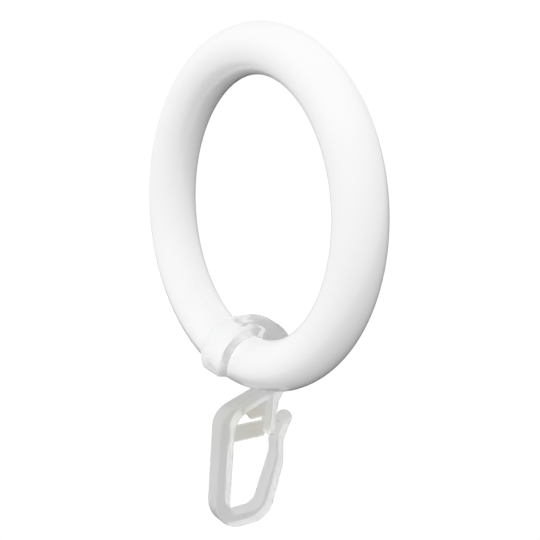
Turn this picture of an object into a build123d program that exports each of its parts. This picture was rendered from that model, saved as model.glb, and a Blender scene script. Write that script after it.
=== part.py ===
from build123d import *
from math import cos, radians, sin, tan
import os

# Curtain ring with a clip-on pleat hook, in millimetres.
# The origin is the ring's centre, Y is the ring's axis and so the rod's direction, and Z is up.
# The hook is drawn in the Y and Z plane, about the centre of the tube at the ring's lowest point.

# Ring
ring_inside_diameter = 36.0
tube_diameter = 7.0

# Saddle that snaps over the tube
running_clearance = 0.1
saddle_wall = 1.55
saddle_length = 4.9
saddle_taper = 15.0
saddle_taper_start = 0.8
saddle_root_angle = 65.0
lip_drop = 1.65
lip_slope = 12.0
lip_round = 0.5

# Crook over the saddle
plate_thickness = 2.3
crook_radius = 8.05
crook_crown = 2.15
crook_flank = 5.5
crook_end_angle = 102.0
crook_mouth_angle = -50.0
crook_edge_round = 0.2

# Stem on the crook's outer side and slanted bar under it
stem_offset = 2.55
stem_width = 1.05
stem_depth = 9.6
stem_flare_radius = 3.0
bar_width = 1.9
bar_slope = 21.0
bar_depth = 3.7

# Thin web near the rear face: a crossbar from spine to stem and a brace under the bar
web_thickness = 0.5
web_inset = 0.1
crossbar_depth = 10.5
crossbar_height = 2.5
slot_height = 0.7
brace_head = 1.2
brace_foot = 3.7

# Hook loop: shoulder, spine, foot and springy arm
loop_depth = 24.0
shoulder_reach = 3.05
shoulder_radius = 3.2
shoulder_inner_radius = 3.2
spine_width = 2.65
spine_lean = 2.7
foot_width = 2.3
heel_radius = 5.4
toe_radius = 3.4
inner_corner_radius = 1.9
arm_root_width = 2.35
arm_lean = 10.0
elbow_offset = 2.4
elbow_depth = 14.9
elbow_radius = 1.5
bend_offset = 0.9
bend_depth = 13.1
bend_radius = 4.0
neck_offset = 1.9
neck_depth = 11.1
neck_width = 1.45
neck_radius = 2.0
loop_edge_round = 0.25

# Round tip of the arm, which gets thinner towards it
tip_radius = 1.2
tip_thickness = 1.8
tip_offset = 2.25
tip_depth = 7.8
thinning_depth = 18.0

tube_radius = tube_diameter / 2
ring_radius = ring_inside_diameter / 2 + tube_radius
bore_radius = tube_radius + running_clearance
saddle_radius = bore_radius + saddle_wall
stem_inside = tube_radius + stem_offset
stem_middle = stem_inside + stem_width / 2
stem_outside = stem_inside + stem_width
half_thickness = plate_thickness / 2

tube_centre = (0, 0, -ring_radius)
hook_plane = Plane(origin=tube_centre, x_dir=(0, 1, 0), z_dir=(1, 0, 0))
side_plane = Plane(origin=tube_centre, x_dir=(1, 0, 0), z_dir=(0, -1, 0))


def below(depth):
    """Height in the drawing plane of a point this far under the tube's lowest point."""
    return -tube_radius - depth


def polar(radius, angle):
    """Point in the drawing plane at this radius and angle about the tube's centre."""
    return (radius * cos(radians(angle)), radius * sin(radians(angle)))


def sector(radius, first_angle, last_angle):
    """Pie slice of the drawing plane between two angles, reaching out past this radius."""
    reach = 2 * radius
    steps = 6
    turn = (last_angle - first_angle) / steps
    rim = [polar(reach, first_angle + turn * step) for step in range(steps + 1)]
    return make_face(Polyline((0, 0), *rim, close=True))


def bar_top(across):
    """Point on the slanted bar's upper edge at this distance across the hook."""
    return (across, below(bar_depth) + across * tan(radians(bar_slope)))


def bar_bottom(across):
    """Point on the slanted bar's lower edge at this distance across the hook."""
    return (across, bar_top(across)[1] - bar_width / cos(radians(bar_slope)))


def bar_middle(across):
    """Point halfway between the slanted bar's edges at this distance across the hook."""
    return (across, (bar_top(across)[1] + bar_bottom(across)[1]) / 2)


def spine_outside(height):
    """Point on the spine's outer edge at this height."""
    shoulder = bar_top(-shoulder_reach)
    return (shoulder[0] + (shoulder[1] - height) * tan(radians(spine_lean)), height)


def spine_inside(height):
    """Point on the spine's inner edge at this height."""
    return (spine_outside(height)[0] + spine_width / cos(radians(spine_lean)), height)


def arm_outside(height):
    """Point on the lower arm's outer edge at this height."""
    elbow_height = below(elbow_depth)
    return (stem_outside + elbow_offset - (elbow_height - height) * tan(radians(arm_lean)), height)


def make_ring():
    """Round-section ring standing in the X and Z plane."""
    section = Plane.XY * Pos(ring_radius, 0) * Circle(tube_radius)
    return revolve(section, Axis.Y)


def make_saddle():
    """Broad leaf that wraps the tube from the crook's crown to a free lip, and narrows towards it."""
    reach = 2 * saddle_radius
    lip_rise = tan(radians(lip_slope))
    lip_height = -lip_drop - saddle_radius * lip_rise
    wrapped = make_face(Polyline(
        (0, 0),
        polar(reach, saddle_root_angle),
        (-reach, reach),
        (-reach, lip_height + reach * lip_rise),
        (0, lip_height),
        close=True,
    ))
    section = (Circle(saddle_radius) - Circle(bore_radius / 2)) & wrapped
    lip_corner = section.vertices().sort_by_distance((-saddle_radius, -lip_drop))[0]
    section = fillet(lip_corner, lip_round)
    sleeve = extrude(hook_plane * section, saddle_length, both=True)
    half_length = saddle_length / 2
    foot_half_length = half_length - (saddle_taper_start + saddle_radius) * tan(radians(saddle_taper))
    side_view = Polyline(
        (-half_length, saddle_radius),
        (half_length, saddle_radius),
        (half_length, saddle_taper_start),
        (foot_half_length, -saddle_radius),
        (-foot_half_length, -saddle_radius),
        (-half_length, saddle_taper_start),
        close=True,
    )
    envelope = extrude(side_plane * make_face(side_view), 2 * saddle_radius, both=True)
    return sleeve & envelope


def make_crook():
    """Plate that arches over the saddle, with the stem running down from its outer side."""
    centre = (bore_radius + crook_flank - crook_radius, bore_radius + crook_crown - crook_radius)
    open_side = sector(crook_radius, crook_end_angle, 360 + crook_mouth_angle)
    # The mouth stops inside the stem, so the crook's rim always runs on into the stem's outer side.
    reach = 4 * crook_radius
    inner_side = Pos(stem_middle, 0) * Rectangle(reach, 2 * reach, align=(Align.MAX, Align.CENTER))
    arch = Pos(*centre) * Circle(crook_radius) - (open_side & inner_side)
    stem_foot = (stem_inside, below(stem_depth))
    stem_head = (stem_outside, centre[1])
    stem = make_face(Polyline(stem_foot, (stem_outside, stem_foot[1]), stem_head,
                              (stem_inside, stem_head[1]), close=True))
    outline = arch + stem
    flare_height = centre[1] - (crook_radius**2 - (stem_outside - centre[0]) ** 2) ** 0.5
    flare_corner = outline.vertices().sort_by_distance((stem_outside, flare_height))[0]
    outline = fillet(flare_corner, stem_flare_radius)
    plate = extrude(hook_plane * outline, half_thickness, both=True)
    rim = [edge for edge in plate.edges().filter_by(GeomType.CIRCLE)
           if abs(edge.radius - crook_radius) < running_clearance]
    return fillet(rim, crook_edge_round)


def make_loop():
    """Slanted bar, spine, foot and springy arm as one rounded ribbon that ends in the tip."""
    foot_height = below(loop_depth)
    floor_height = foot_height + foot_width
    tip = (stem_outside + tip_offset, below(tip_depth))
    arm_root = arm_outside(floor_height)
    outside = FilletPolyline(
        bar_top(stem_middle),
        bar_top(-shoulder_reach),
        spine_outside(foot_height),
        arm_outside(foot_height),
        arm_outside(below(elbow_depth)),
        (stem_outside + neck_offset, below(neck_depth)),
        (tip[0] + neck_width / 2, tip[1]),
        radius=[shoulder_radius, heel_radius, toe_radius, elbow_radius, neck_radius],
    )
    inner_shoulder = spine_inside(bar_bottom(spine_width - shoulder_reach)[1])
    inside = FilletPolyline(
        (tip[0] - neck_width / 2, tip[1]),
        (stem_outside + neck_offset - neck_width, below(neck_depth)),
        (stem_outside + bend_offset, below(bend_depth)),
        (arm_root[0] - arm_root_width, floor_height),
        spine_inside(floor_height),
        inner_shoulder,
        bar_bottom(stem_middle),
        radius=[neck_radius, bend_radius, inner_corner_radius, inner_corner_radius, shoulder_inner_radius],
    )
    tip_cap = Line(outside @ 1, inside @ 0)
    bar_cap = Line(inside @ 1, outside @ 0)
    ribbon = extrude(hook_plane * make_face([outside, tip_cap, inside, bar_cap]), half_thickness, both=True)
    long_edges = [edge for side in ribbon.faces().filter_by(Axis.X) for edge in side.edges()
                  if edge.length > max(bar_cap.length, tip_cap.length) + running_clearance]
    ribbon = fillet(long_edges, loop_edge_round)
    thinning = make_face(Polyline(
        (half_thickness, below(thinning_depth)),
        (tip_thickness / 2, tip[1]),
        (plate_thickness, tip[1]),
        (plate_thickness, below(thinning_depth)),
        close=True,
    ))
    loop_middle = side_plane.offset(-stem_inside / 2)
    front_wedge = extrude(loop_middle * thinning, -2 * stem_outside)
    ribbon = ribbon - front_wedge - mirror(front_wedge, Plane.YZ)
    return ribbon + hook_plane * Pos(*tip) * Sphere(tip_radius)


def make_web():
    """Thin crossbar and brace near the rear face, with a slot between them that opens towards the spine."""
    foot = below(crossbar_depth)
    sill = foot + crossbar_height
    lintel = sill + slot_height
    spine_middle = (spine_outside(foot)[0] + spine_inside(foot)[0]) / 2
    crossbar = make_face(Polyline(
        (spine_middle, foot), (stem_middle, foot), (stem_middle, sill), (spine_middle, sill), close=True))
    brace = make_face(Polyline(
        (brace_foot, lintel), (stem_middle, lintel), bar_middle(stem_middle), bar_middle(brace_head), close=True))
    rear = hook_plane.offset(web_inset - half_thickness)
    return extrude(rear * crossbar, web_thickness) + extrude(rear * brace, web_thickness)


def make_clip_hook():
    """The one-piece clear hook: saddle, crook and stem, web and loop, bored to run on the tube."""
    moulding = make_saddle() + make_crook() + make_loop() + make_web()
    bore = revolve(Plane.XY * Pos(ring_radius, 0) * Circle(bore_radius), Axis.Y)
    return moulding - bore


nodes = {"ring": make_ring(), "clip_hook": make_clip_hook()}
os.makedirs("parts", exist_ok=True)
for name, solid in nodes.items():
    export_step(solid, f"parts/{name}.step")
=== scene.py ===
"""Curtain ring with a clear clip-on pleat hook: finishes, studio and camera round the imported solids."""

import logging
import math
from dataclasses import dataclass, field
from enum import Enum
from typing import Any

import bmesh
import bpy
from mathutils import Matrix, Vector

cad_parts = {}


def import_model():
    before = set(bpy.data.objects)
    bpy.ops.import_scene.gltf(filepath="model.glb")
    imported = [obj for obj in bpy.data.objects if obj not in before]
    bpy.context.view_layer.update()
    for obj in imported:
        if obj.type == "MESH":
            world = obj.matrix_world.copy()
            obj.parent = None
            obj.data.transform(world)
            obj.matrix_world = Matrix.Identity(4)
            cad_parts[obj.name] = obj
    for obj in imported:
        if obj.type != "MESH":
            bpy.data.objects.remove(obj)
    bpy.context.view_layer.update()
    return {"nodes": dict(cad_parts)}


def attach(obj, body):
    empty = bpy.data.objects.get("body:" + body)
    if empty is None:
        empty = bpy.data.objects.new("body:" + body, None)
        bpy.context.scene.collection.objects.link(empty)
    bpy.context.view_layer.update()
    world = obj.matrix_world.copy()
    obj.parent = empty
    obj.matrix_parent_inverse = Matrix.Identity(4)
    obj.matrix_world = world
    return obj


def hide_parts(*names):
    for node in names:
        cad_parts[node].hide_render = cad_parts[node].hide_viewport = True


LOG = logging.getLogger("curtain_ring")
MM = 0.001
WELD_MM = 0.001

Colour = tuple[float, float, float, float]


class Body(Enum):
    """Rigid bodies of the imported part."""

    RING = "ring"
    CLIP = "clip"


class Slot(Enum):
    """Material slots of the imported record."""

    WHITE = "white_plastic"
    CLEAR = "clear_plastic"


def srgb(hex_colour: str) -> Colour:
    """Turn an sRGB hex colour into linear light.

    Args:
        hex_colour: Six hex digits, such as "f4f4f2".

    Returns:
        Linear red, green and blue, and an alpha of 1.
    """
    channels = [int(hex_colour[place:place + 2], 16) / 255 for place in (0, 2, 4)]
    linear = [c / 12.92 if c <= 0.04045 else ((c + 0.055) / 1.055) ** 2.4 for c in channels]
    return (linear[0], linear[1], linear[2], 1.0)


def add_node(
    tree: bpy.types.NodeTree,
    kind: str,
    settings: dict[str, Any] | None = None,
    inputs: dict[str | int, Any] | None = None,
) -> bpy.types.Node:
    """Add one node with its settings, values and links.

    Args:
        tree: The node tree that gets the node.
        kind: The node's type name.
        settings: Attributes to set on the node.
        inputs: Input sockets by name or place, each with a value or the output socket that feeds it.

    Returns:
        The new node.
    """
    node = tree.nodes.new(kind)
    for name, value in (settings or {}).items():
        setattr(node, name, value)
    for name, value in (inputs or {}).items():
        if isinstance(value, bpy.types.NodeSocket):
            tree.links.new(value, node.inputs[name])
        else:
            node.inputs[name].default_value = value
    return node


def new_material(name: str) -> tuple[bpy.types.Material, bpy.types.NodeTree]:
    """Make an empty node material.

    Args:
        name: The material's name.

    Returns:
        The material and its node tree.
    """
    material = bpy.data.materials.new(name)
    material.use_nodes = True
    material.node_tree.nodes.clear()
    return material, material.node_tree


def per_metre(feature_mm: float) -> float:
    """Texture scale that gives features of this size in millimetres."""
    return 1.0 / (feature_mm * MM)


def mix_colours(
    tree: bpy.types.NodeTree, share: bpy.types.NodeSocket, first: Colour, second: Colour
) -> bpy.types.NodeSocket:
    """Blend two colours.

    Args:
        tree: The node tree that gets the Mix node.
        share: The second colour's share.
        first: The colour at a share of 0.
        second: The colour at a share of 1.

    Returns:
        The blended colour.
    """
    # A Mix node holds its colours at places 6 and 7, and its colour result at place 2.
    mix = add_node(tree, "ShaderNodeMix", {"data_type": "RGBA"}, {0: share, 6: first, 7: second})
    return mix.outputs[2]


def mix_levels(
    tree: bpy.types.NodeTree,
    share: bpy.types.NodeSocket,
    first: bpy.types.NodeSocket | float,
    second: bpy.types.NodeSocket | float,
) -> bpy.types.NodeSocket:
    """Blend two light levels.

    Args:
        tree: The node tree that gets the Mix node.
        share: The second level's share.
        first: The level at a share of 0.
        second: The level at a share of 1.

    Returns:
        The blended level.
    """
    # A Mix node holds its plain values at places 2 and 3.
    mix = add_node(tree, "ShaderNodeMix", {"data_type": "FLOAT"}, {0: share, 2: first, 3: second})
    return mix.outputs[0]


@dataclass(frozen=True)
class GlossWhiteAbs:
    """White ABS, injection moulded in a polished tool."""

    deep: str = "f6f6f6"
    pale: str = "fafafa"
    flow_mm: float = 9.0
    flow_detail: float = 2.0
    peel_mm: float = 2.5
    peel_detail: float = 1.0
    peel_height_mm: float = 0.002
    peel_strength: float = 0.2
    roughness_low: float = 0.08
    roughness_high: float = 0.14
    ior: float = 1.53

    def make(self) -> bpy.types.Material:
        """Build the material.

        Returns:
            A glossy white whose gloss wanders a little with the melt's flow, over a faint orange peel.
        """
        material, tree = new_material("white_abs_moulded")
        place = add_node(tree, "ShaderNodeTexCoord").outputs["Object"]
        flow = add_node(tree, "ShaderNodeTexNoise", {}, {
            "Vector": place, "Scale": per_metre(self.flow_mm), "Detail": self.flow_detail})
        colour = mix_colours(tree, flow.outputs["Fac"], srgb(self.deep), srgb(self.pale))
        gloss = add_node(tree, "ShaderNodeMapRange", {}, {
            "Value": flow.outputs["Fac"], "To Min": self.roughness_low, "To Max": self.roughness_high})
        peel = add_node(tree, "ShaderNodeTexNoise", {}, {
            "Vector": place, "Scale": per_metre(self.peel_mm), "Detail": self.peel_detail})
        bump = add_node(tree, "ShaderNodeBump", {}, {
            "Height": peel.outputs["Fac"],
            "Distance": self.peel_height_mm * MM,
            "Strength": self.peel_strength,
        })
        # The eye gets a clean, wet-looking white that turns grey only at the tube's limb.
        surface = add_node(tree, "ShaderNodeBsdfPrincipled", {}, {
            "Base Color": colour,
            "Roughness": gloss.outputs["Result"],
            "IOR": self.ior,
            "Normal": bump.outputs["Normal"],
        })
        add_node(tree, "ShaderNodeOutputMaterial", {}, {"Surface": surface.outputs["BSDF"]})
        return material


@dataclass(frozen=True)
class ClearNylon:
    """Unfilled natural nylon, injection moulded in a polished tool."""

    cool: str = "fbfcfb"
    warm: str = "fbf8ea"
    gate_mm: tuple[float, float, float] = (-1.5, 2.5, -33.0)
    straw_inside_mm: float = 2.0
    straw_outside_mm: float = 5.5
    flow_mm: float = 5.0
    flow_detail: float = 2.0
    streak_low: float = 0.2
    streak_high: float = 0.6
    roughness_low: float = 0.0
    roughness_high: float = 0.02
    # Solid nylon has 1.53; this is matched to an object whose rear edges show nearly where they are.
    ior: float = 1.2
    transmission: float = 0.72

    def make(self) -> bpy.types.Material:
        """Build the material.

        Returns:
            A clear plastic with a milky haze, tinted from neutral to straw round the gate in the web.
        """
        material, tree = new_material("clear_nylon_moulded")
        place = add_node(tree, "ShaderNodeTexCoord").outputs["Object"]
        flow = add_node(tree, "ShaderNodeTexNoise", {}, {
            "Vector": place, "Scale": per_metre(self.flow_mm), "Detail": self.flow_detail})
        gate = tuple(side * MM for side in self.gate_mm)
        reach = add_node(tree, "ShaderNodeVectorMath", {"operation": "DISTANCE"}, {0: place, 1: gate})
        straw = add_node(tree, "ShaderNodeMapRange", {"interpolation_type": "SMOOTHSTEP"}, {
            "Value": reach.outputs["Value"],
            "From Min": self.straw_inside_mm * MM,
            "From Max": self.straw_outside_mm * MM,
            "To Min": 1.0,
            "To Max": 0.0,
        })
        share = add_node(tree, "ShaderNodeMapRange", {}, {
            "Value": flow.outputs["Fac"],
            "From Min": self.streak_low,
            "From Max": self.streak_high,
            "To Min": 0.0,
            "To Max": straw.outputs["Result"],
        })
        colour = mix_colours(tree, share.outputs["Result"], srgb(self.cool), srgb(self.warm))
        gloss = add_node(tree, "ShaderNodeMapRange", {}, {
            "Value": flow.outputs["Fac"], "To Min": self.roughness_low, "To Max": self.roughness_high})
        # The eye gets a clear, slightly milky plastic: grey over the air, and almost nothing over the ring.
        surface = add_node(tree, "ShaderNodeBsdfPrincipled", {}, {
            "Base Color": colour,
            "Roughness": gloss.outputs["Result"],
            "IOR": self.ior,
            "Transmission Weight": self.transmission,
        })
        add_node(tree, "ShaderNodeOutputMaterial", {}, {"Surface": surface.outputs["BSDF"]})
        return material


@dataclass
class RingMoulding:
    """The white ring, swept by Geometry Nodes: a round tube along a circle."""

    ring_radius_mm: float = 21.5
    tube_radius_mm: float = 3.5
    steps_round_ring: int = 256
    steps_round_tube: int = 96
    finish: GlossWhiteAbs = field(default_factory=GlossWhiteAbs)

    def tree(self, material: bpy.types.Material) -> bpy.types.NodeTree:
        """Build the sweep.

        Args:
            material: The finish that the tube gets.

        Returns:
            A tree with the ring's sizes as named inputs.
        """
        tree = bpy.data.node_groups.new("round_ring", "GeometryNodeTree")
        tree.interface.new_socket("Ring Radius", in_out="INPUT", socket_type="NodeSocketFloat")
        tree.interface.new_socket("Tube Radius", in_out="INPUT", socket_type="NodeSocketFloat")
        tree.interface.new_socket("Ring Steps", in_out="INPUT", socket_type="NodeSocketInt")
        tree.interface.new_socket("Tube Steps", in_out="INPUT", socket_type="NodeSocketInt")
        tree.interface.new_socket("Geometry", in_out="OUTPUT", socket_type="NodeSocketGeometry")
        sizes = add_node(tree, "NodeGroupInput").outputs
        path = add_node(tree, "GeometryNodeCurvePrimitiveCircle", {}, {
            "Resolution": sizes["Ring Steps"], "Radius": sizes["Ring Radius"]})
        upright = add_node(tree, "GeometryNodeTransform", {}, {
            "Geometry": path.outputs["Curve"], "Rotation": (math.pi / 2, 0.0, 0.0)})
        section = add_node(tree, "GeometryNodeCurvePrimitiveCircle", {}, {
            "Resolution": sizes["Tube Steps"], "Radius": sizes["Tube Radius"]})
        tube = add_node(tree, "GeometryNodeCurveToMesh", {}, {
            "Curve": upright.outputs["Geometry"], "Profile Curve": section.outputs["Curve"]})
        smooth = add_node(tree, "GeometryNodeSetShadeSmooth", {}, {"Geometry": tube.outputs["Mesh"]})
        real = add_node(tree, "GeometryNodeRealizeInstances", {}, {"Geometry": smooth.outputs["Geometry"]})
        dressed = add_node(tree, "GeometryNodeSetMaterial", {}, {
            "Geometry": real.outputs["Geometry"], "Material": material})
        add_node(tree, "NodeGroupOutput", {}, {"Geometry": dressed.outputs["Geometry"]})
        return tree

    def build(self) -> bpy.types.Object:
        """Sweep the ring and set it in the place of its solid.

        Returns:
            The finished ring, riding on its body.
        """
        material = self.finish.make()
        tree = self.tree(material)
        maker = bpy.data.objects.new("ring_maker", bpy.data.meshes.new("ring_maker"))
        bpy.context.scene.collection.objects.link(maker)
        modifier = maker.modifiers.new("sweep", "NODES")
        modifier.node_group = tree
        values = {
            "Ring Radius": self.ring_radius_mm * MM,
            "Tube Radius": self.tube_radius_mm * MM,
            "Ring Steps": self.steps_round_ring,
            "Tube Steps": self.steps_round_tube,
        }
        for socket in tree.interface.items_tree:
            if socket.name in values:
                modifier[socket.identifier] = values[socket.name]
        mesh = evaluated_mesh(maker)
        bpy.data.objects.remove(maker)
        ring = link_piece("ring_moulding", mesh)
        recalculate(mesh)
        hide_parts("ring")
        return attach(ring, Body.RING.value)


@dataclass
class ClipHookMoulding:
    """The clear hook: a copy of its solid with flat faces, smooth rounds and crisp edges."""

    sharp_edge: float = math.radians(35)
    flat_face: float = math.radians(0.2)
    finish: ClearNylon = field(default_factory=ClearNylon)

    def build(self, solid: bpy.types.Object) -> bpy.types.Object:
        """Polish a copy of the solid and set it in the solid's place.

        Args:
            solid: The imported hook.

        Returns:
            The finished hook, riding on its body.
        """
        mesh = solid.data.copy()
        mesh.transform(Matrix.Scale(1 / MM, 4))
        merge(mesh, self.flat_face)
        mesh.shade_smooth()
        mesh.set_sharp_from_angle(angle=self.sharp_edge)
        maker = bpy.data.objects.new("hook_maker", mesh)
        bpy.context.scene.collection.objects.link(maker)
        flattening = maker.modifiers.new("flat_faces", "WEIGHTED_NORMAL")
        flattening.keep_sharp = True
        polished = evaluated_mesh(maker)
        bpy.data.objects.remove(maker)
        polished.transform(Matrix.Scale(MM, 4))
        polished.materials.clear()
        polished.materials.append(self.finish.make())
        hook = link_piece("clip_hook_moulding", polished)
        # Clear plastic passes the light on, so the ring behind it stays as bright as beside it.
        hook.visible_shadow = False
        hook.visible_diffuse = False
        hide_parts("clip_hook")
        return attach(hook, Body.CLIP.value)


def evaluated_mesh(maker: bpy.types.Object) -> bpy.types.Mesh:
    """Turn an object with its modifiers into a plain mesh.

    Args:
        maker: The object whose modifiers make the shape.

    Returns:
        The shape as a mesh of its own.
    """
    graph = bpy.context.evaluated_depsgraph_get()
    return bpy.data.meshes.new_from_object(maker.evaluated_get(graph))


def link_piece(name: str, mesh: bpy.types.Mesh) -> bpy.types.Object:
    """Put a mesh into the scene as a piece.

    Args:
        name: The piece's name.
        mesh: Its mesh, already in place.

    Returns:
        The new object, at the origin.
    """
    mesh.name = name
    piece = bpy.data.objects.new(name, mesh)
    bpy.context.scene.collection.objects.link(piece)
    return piece


def merge(mesh: bpy.types.Mesh, flat: float) -> None:
    """Join the loose triangles of a mesh in millimetres where their corners meet.

    Args:
        mesh: The mesh to join.
        flat: Largest angle in radians between triangles that become one face.
    """
    work = bmesh.new()
    work.from_mesh(mesh)
    bmesh.ops.remove_doubles(work, verts=work.verts, dist=WELD_MM)
    bmesh.ops.dissolve_limit(work, angle_limit=flat, verts=work.verts, edges=work.edges)
    work.to_mesh(mesh)
    work.free()


def recalculate(mesh: bpy.types.Mesh) -> None:
    """Close a mesh in metres and point its faces outwards.

    Args:
        mesh: The mesh to close.
    """
    work = bmesh.new()
    work.from_mesh(mesh)
    bmesh.ops.remove_doubles(work, verts=work.verts, dist=WELD_MM * MM)
    bmesh.ops.recalc_face_normals(work, faces=work.faces)
    work.to_mesh(mesh)
    work.free()


@dataclass
class Studio:
    """White studio: a pale floor under a soft dome of light."""

    floor_height_mm: float = -160.0
    floor_half_width_mm: float = 6000.0
    floor_colour: str = "e6e6e6"
    floor_glow: float = 0.2
    dome_colour: str = "ffffff"
    # The dome's brightest direction, and the cosines to it between which the light fades out.
    light_from: tuple[float, float, float] = (-0.036, -0.463, 0.885)
    dark_below: float = -0.56
    bright_above: float = -0.30
    level: float = 1.04
    backdrop: float = 1.0
    # A mirrored dome a little under white keeps the ring's limb apart from the backdrop.
    mirrored: float = 0.85
    # The clear hook shows a grey surround, so that it stands out where only white is behind it.
    seen_through_below: float = 0.42
    seen_through_above: float = 0.78

    def build(self) -> None:
        """Set up the floor and the soft surround."""
        self.floor()
        self.surround()

    def floor(self) -> None:
        """Lay the pale floor, which the camera sees as white where no shadow falls."""
        reach = self.floor_half_width_mm * MM
        height = self.floor_height_mm * MM
        mesh = bpy.data.meshes.new("floor")
        corners = [(-reach, -reach), (reach, -reach), (reach, reach), (-reach, reach)]
        mesh.from_pydata([(x, y, height) for x, y in corners], [], [(0, 1, 2, 3)])
        material, tree = new_material("pale_floor")
        diffuse = add_node(tree, "ShaderNodeBsdfDiffuse", {}, {"Color": srgb(self.floor_colour)})
        glow = add_node(tree, "ShaderNodeEmission", {}, {"Strength": self.floor_glow})
        lit = add_node(tree, "ShaderNodeAddShader", {}, {0: diffuse.outputs[0], 1: glow.outputs[0]})
        clear = add_node(tree, "ShaderNodeBsdfTransparent")
        seen = add_node(tree, "ShaderNodeLightPath").outputs["Is Camera Ray"]
        shown = add_node(tree, "ShaderNodeMixShader", {}, {0: seen, 1: clear.outputs[0], 2: lit.outputs[0]})
        add_node(tree, "ShaderNodeOutputMaterial", {}, {"Surface": shown.outputs[0]})
        mesh.materials.append(material)
        floor = link_piece("floor", mesh)

    def surround(self) -> None:
        """Light the object from a wide white dome that fades out underneath, and show the camera white."""
        world = bpy.data.worlds.new("white_dome")
        world.use_nodes = True
        tree = world.node_tree
        tree.nodes.clear()
        path = add_node(tree, "ShaderNodeLightPath").outputs
        towards = add_node(tree, "ShaderNodeTexCoord").outputs["Generated"]
        height = add_node(tree, "ShaderNodeVectorMath", {"operation": "DOT_PRODUCT"}, {
            0: towards, 1: self.light_from})
        through = path["Is Transmission Ray"]
        lit = mix_levels(tree, path["Is Glossy Ray"], self.level, self.mirrored)
        darkest = mix_levels(tree, through, 0.0, self.seen_through_below)
        brightest = mix_levels(tree, through, lit, self.seen_through_above)
        dome = add_node(tree, "ShaderNodeMapRange", {"interpolation_type": "SMOOTHSTEP"}, {
            "Value": height.outputs["Value"],
            "From Min": self.dark_below,
            "From Max": self.bright_above,
            "To Min": darkest,
            "To Max": brightest,
        })
        level = mix_levels(tree, path["Is Camera Ray"], dome.outputs["Result"], self.backdrop)
        light = add_node(tree, "ShaderNodeBackground", {}, {
            "Color": srgb(self.dome_colour), "Strength": level})
        add_node(tree, "ShaderNodeOutputWorld", {}, {"Surface": light.outputs[0]})
        bpy.context.scene.world = world


@dataclass
class ProductCamera:
    """The camera at the picture's viewing angle."""

    azimuth: float = 51.945
    elevation: float = 16.892
    roll: float = 6.35
    distance_mm: float = 148.834
    aim_mm: tuple[float, float, float] = (3.6, 0.816, -7.679)
    lens: float = 72.977
    sensor: float = 36.0
    nearest_mm: float = 10.0

    def build(self) -> None:
        """Place the camera and make it the scene's own."""
        turn = math.radians(self.azimuth)
        rise = math.radians(self.elevation)
        tilt = math.radians(self.roll)
        back = Vector((math.sin(turn) * math.cos(rise), -math.cos(turn) * math.cos(rise), math.sin(rise)))
        level = Vector((math.cos(turn), math.sin(turn), 0.0))
        upright = back.cross(level)
        right = level * math.cos(tilt) + upright * math.sin(tilt)
        up = back.cross(right)
        data = bpy.data.cameras.new("product_camera")
        data.lens = self.lens
        data.sensor_width = self.sensor
        data.clip_start = self.nearest_mm * MM
        camera = bpy.data.objects.new("product_camera", data)
        place = (Vector(self.aim_mm) + back * self.distance_mm) * MM
        camera.matrix_world = Matrix.Translation(place) @ Matrix((right, up, back)).transposed().to_4x4()
        bpy.context.scene.collection.objects.link(camera)
        bpy.context.scene.camera = camera


def main() -> None:
    """Load the solids, dress them, and set up the studio and the camera."""
    logging.basicConfig(level=logging.INFO)
    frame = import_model()
    bpy.context.scene.view_settings.view_transform = "Standard"
    pieces = [RingMoulding().build(), ClipHookMoulding().build(frame["nodes"]["clip_hook"])]
    for piece in pieces:
        LOG.info("%s: %d faces", piece.name, len(piece.data.polygons))
    Studio().build()
    ProductCamera().build()


if __name__ == "__main__":
    main()
